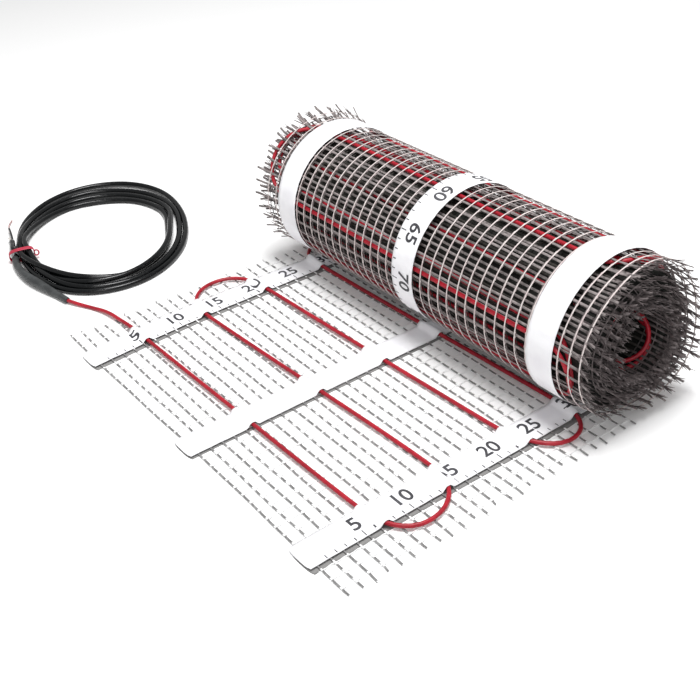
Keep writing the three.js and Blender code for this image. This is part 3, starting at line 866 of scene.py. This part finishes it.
def upper_tape(side, station):
    across = station + np.linspace(-TAPE_WIDTH / 2, TAPE_WIDTH / 2, TAPE_COLUMNS)
    along = np.arange(TAPE_FREE_END, UPPER_TAPE_END + 0.1, TAPE_ROW)
    grid = np.zeros((len(along), len(across), 3))
    wave = random.uniform(0, 6.28, 2)
    for column, x in enumerate(across):
        height = np.zeros(len(along))
        for place in cable_crossings(x):
            share = np.clip((np.abs(along - place) - HUMP_CREST) / HUMP_SLOPE, 0, 1)
            height = np.maximum(height, HUMP_HEIGHT * (1 - share * share * (3 - 2 * share)))
        ripple = 0.16 * np.sin(along / 9 + wave[0] + x / 8) + 0.12 * np.sin(along / 4.1 + wave[1])
        lean = tape_lean(side, along)
        grid[:, column, 0] = x + lean + 0.35 * np.sin(along / 47 + wave[0])
        grid[:, column, 1] = along
        grid[:, column, 2] = UPPER_TAPE_LEVEL + TAPE_THICKNESS + height + np.abs(ripple)
    grid = rounded_tape_end(grid)
    parts = [strip(grid, UPPER_FILM, np.array([0, 0, -1.0]))]
    piece = add_piece(f"upper_tape_{side}_film", parts, TAPE)
    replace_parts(piece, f"upper_tape_{side}")
    return grid


def lower_tape(side, station):
    across = station + np.linspace(-TAPE_WIDTH / 2, TAPE_WIDTH / 2, TAPE_COLUMNS)
    flat = np.arange(TAPE_FREE_END - ROLL_AXIS_Y, 0, LOWER_TAPE_ROW)
    ring = np.linspace(0, at_angle(1, 4), RING_ROWS)
    along = np.concatenate([flat, ring])
    shift = 4.5 if side != "middle" else 2.0
    lean = np.clip(-along / 60, 0, 1) * shift + tape_lean(side, along + ROLL_AXIS_Y)
    wobble = 0.5 * np.sin(along / 61 + random.uniform(0, 6.28))
    grid_x = across[None] + (lean + wobble)[:, None]
    drop = NET_LEVEL - TAPE_THICKNESS
    dent = 0.12 * np.sin(along / 2.1)[:, None] * np.clip(along / 20, 0, 1)[:, None]
    grid, out = rolled(grid_x, np.broadcast_to(along[:, None], grid_x.shape), -drop + dent)
    parts = [strip(rounded_tape_end(grid), LOWER_FILM, out)]
    piece = add_piece(f"lower_tape_{side}_film", parts, TAPE)
    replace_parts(piece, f"lower_tape_{side}")


# Plain length scale printed on the tapes: ticks each 10 mm, a number each 50 mm
TICK_PITCH, NUMBER_PITCH = 10, 50
TICK_LENGTH, TICK_WIDTH, LONG_TICK = 4.0, 0.9, 7.0
DIGIT_HEIGHT = 15.0
DIGIT_SHARE_OF_FONT = 0.7
DIGITS_LOWEST = -DIGIT_HEIGHT / 2 + 3
NUMBER_REACH = 20
BOLDNESS = 0.32
PRINT_THICKNESS, PRINT_LIFT = 0.12, 0.1
TICK_MARGIN = 1.0
FLAT_SCALE = (10, 310)
RING_SCALE = (510, 750)


def flat_number(number):
    """A number's closed flat letterforms as (vertices, faces), along X and up Y, in millimetres.
    They are cut where the tape's own rows and columns lie, so that they can bend with it."""
    curve = bpy.data.curves.new("number", "FONT")
    curve.body = str(number)
    curve.size = DIGIT_HEIGHT / DIGIT_SHARE_OF_FONT
    curve.align_x = "CENTER"
    curve.extrude = PRINT_THICKNESS / 2
    curve.offset = BOLDNESS
    holder = bpy.data.objects.new("number", curve)
    bpy.context.scene.collection.objects.link(holder)
    bpy.context.view_layer.update()
    mesh = bpy.data.meshes.new_from_object(holder.evaluated_get(bpy.context.evaluated_depsgraph_get()))
    shape = bmesh.new()
    shape.from_mesh(mesh)
    bmesh.ops.remove_doubles(shape, verts=shape.verts, dist=0.001)
    cells = TAPE_COLUMNS - 1
    rows = [((x, 0, 0), (1, 0, 0)) for x in np.arange(1 - NUMBER_REACH, NUMBER_REACH, TAPE_ROW)]
    lines = TAPE_WIDTH * (np.arange(1, cells) / cells - 0.5)
    columns = [((0, y - DIGITS_LOWEST, 0), (0, 1, 0)) for y in lines]
    for place, normal in rows + columns:
        every = [*shape.verts, *shape.edges, *shape.faces]
        bmesh.ops.bisect_plane(shape, geom=every, plane_co=place, plane_no=normal)
    bmesh.ops.triangulate(shape, faces=shape.faces)
    shape.verts.index_update()
    points = np.array([corner.co[:] for corner in shape.verts])
    faces = np.array([[corner.index for corner in face.verts] for face in shape.faces])
    shape.free()
    bpy.data.meshes.remove(mesh)
    bpy.data.objects.remove(holder)
    bpy.data.curves.remove(curve)
    return points, faces


def flat_tick(length):
    """One closed tick, along Y from 0 to length and narrow along X."""
    half, thick = TICK_WIDTH / 2, PRINT_THICKNESS / 2
    points = np.array([(x, y, z) for x in (-half, half) for y in (0, length) for z in (-thick, thick)])
    faces = np.array([(0, 1, 3, 2), (4, 6, 7, 5), (0, 4, 5, 1), (2, 3, 7, 6), (0, 2, 6, 4), (1, 5, 7, 3)])
    return points, faces


def scale_print(name, scale, lay):
    """Ticks from the tape's edge and numbers along its middle, laid on the tape by lay."""
    parts = []
    edge = TICK_MARGIN - TAPE_WIDTH / 2
    for place in range(scale[0], scale[1] + 1, TICK_PITCH):
        numbered = place % NUMBER_PITCH == 0
        points, faces = flat_tick(LONG_TICK if numbered else TICK_LENGTH)
        laid = lay(points[:, 0] + place, points[:, 1] + edge, points[:, 2])
        parts.append((laid, faces))
        if numbered:
            points, faces = flat_number(place // TICK_PITCH)
            laid = lay(points[:, 0] + place, points[:, 1] + DIGITS_LOWEST, points[:, 2])
            parts.append((laid, faces))
    add_piece(name, parts, PRINT, smooth=False)


def flat_print(side, grid):
    """The scale on an upper tape, read along the mat with its tops to the left. Its height is taken
    from the tape's opposite half, so it dips into the tape in places."""
    body = grid[2:]
    along = body[:, TAPE_COLUMNS // 2, 1]
    centre = body[:, TAPE_COLUMNS // 2, 0]
    cells = TAPE_COLUMNS - 1

    def lay(forward, sideways, height):
        levels = [np.interp(forward, along, body[:, column, 2]) for column in range(TAPE_COLUMNS)]
        columns = np.array(levels)
        share = np.clip((sideways + TAPE_WIDTH / 2) / TAPE_WIDTH * cells, 0, cells - 0.001)
        low = share.astype(int)
        pick = np.arange(len(low))
        level = columns[low, pick] * (1 - share + low) + columns[low + 1, pick] * (share - low)
        x = np.interp(forward, along, centre) - sideways
        return np.stack([x, forward, level + PRINT_THICKNESS + PRINT_LIFT + height], axis=-1)

    scale_print(f"upper_tape_{side}_print", FLAT_SCALE, lay)


def ring_print(side, station):
    """The scale on the outside of a lower tape's ring, which goes on from the flat stretch."""
    outside = NET_LEVEL + PRINT_THICKNESS

    def lay(forward, sideways, height):
        forward = forward - ROLL_AXIS_Y
        return rolled(station + sideways, forward, -outside - height)[0]

    scale_print(f"lower_tape_{side}_print", RING_SCALE, lay)


for side, station in TAPE_STATIONS.items():
    upper_grid = upper_tape(side, station)
    lower_tape(side, station)
    if side != "middle":
        flat_print(side, upper_grid)
ring_print("middle", TAPE_STATIONS["middle"])

# Plain floor and soft studio light
FLOOR_SIZE = 40.0
floor_mesh = bpy.data.meshes.new("floor")
half = FLOOR_SIZE / 2
floor_corners = [(-half, -half, 0), (half, -half, 0), (half, half, 0), (-half, half, 0)]
floor_mesh.from_pydata(floor_corners, [], [(0, 1, 2, 3)])
floor = bpy.data.objects.new("floor", floor_mesh)
bpy.context.scene.collection.objects.link(floor)
floor_finish = Finish("floor_white", Roughness=0.9, Specular_IOR_Level=0.05)
floor_finish.colour(linear(250, 250, 250))
floor_mesh.materials.append(floor_finish.material)

world = bpy.data.worlds.new("studio")
bpy.context.scene.world = world
world.use_nodes = True
world.node_tree.nodes["Background"].inputs["Color"].default_value = (1, 1, 1, 1)
world.node_tree.nodes["Background"].inputs["Strength"].default_value = 0.42


def area_light(name, place, target, size, power):
    data = bpy.data.lights.new(name, "AREA")
    data.shape = "DISK"
    data.size = size
    data.energy = power
    light = bpy.data.objects.new(name, data)
    bpy.context.scene.collection.objects.link(light)
    light.location = place
    aim = np.array(target, float) - np.array(place, float)
    light.rotation_mode = "QUATERNION"
    light.rotation_quaternion = Vector(aim).to_track_quat("-Z", "Y")


area_light("overhead", (0.1, 0.1, 2.2), (0, 0.05, 0), 1.1, 52)
area_light("front_fill", (1.6, -1.4, 1.5), (0, 0, 0), 1.2, 11)

bpy.context.scene.view_settings.view_transform = "Standard"
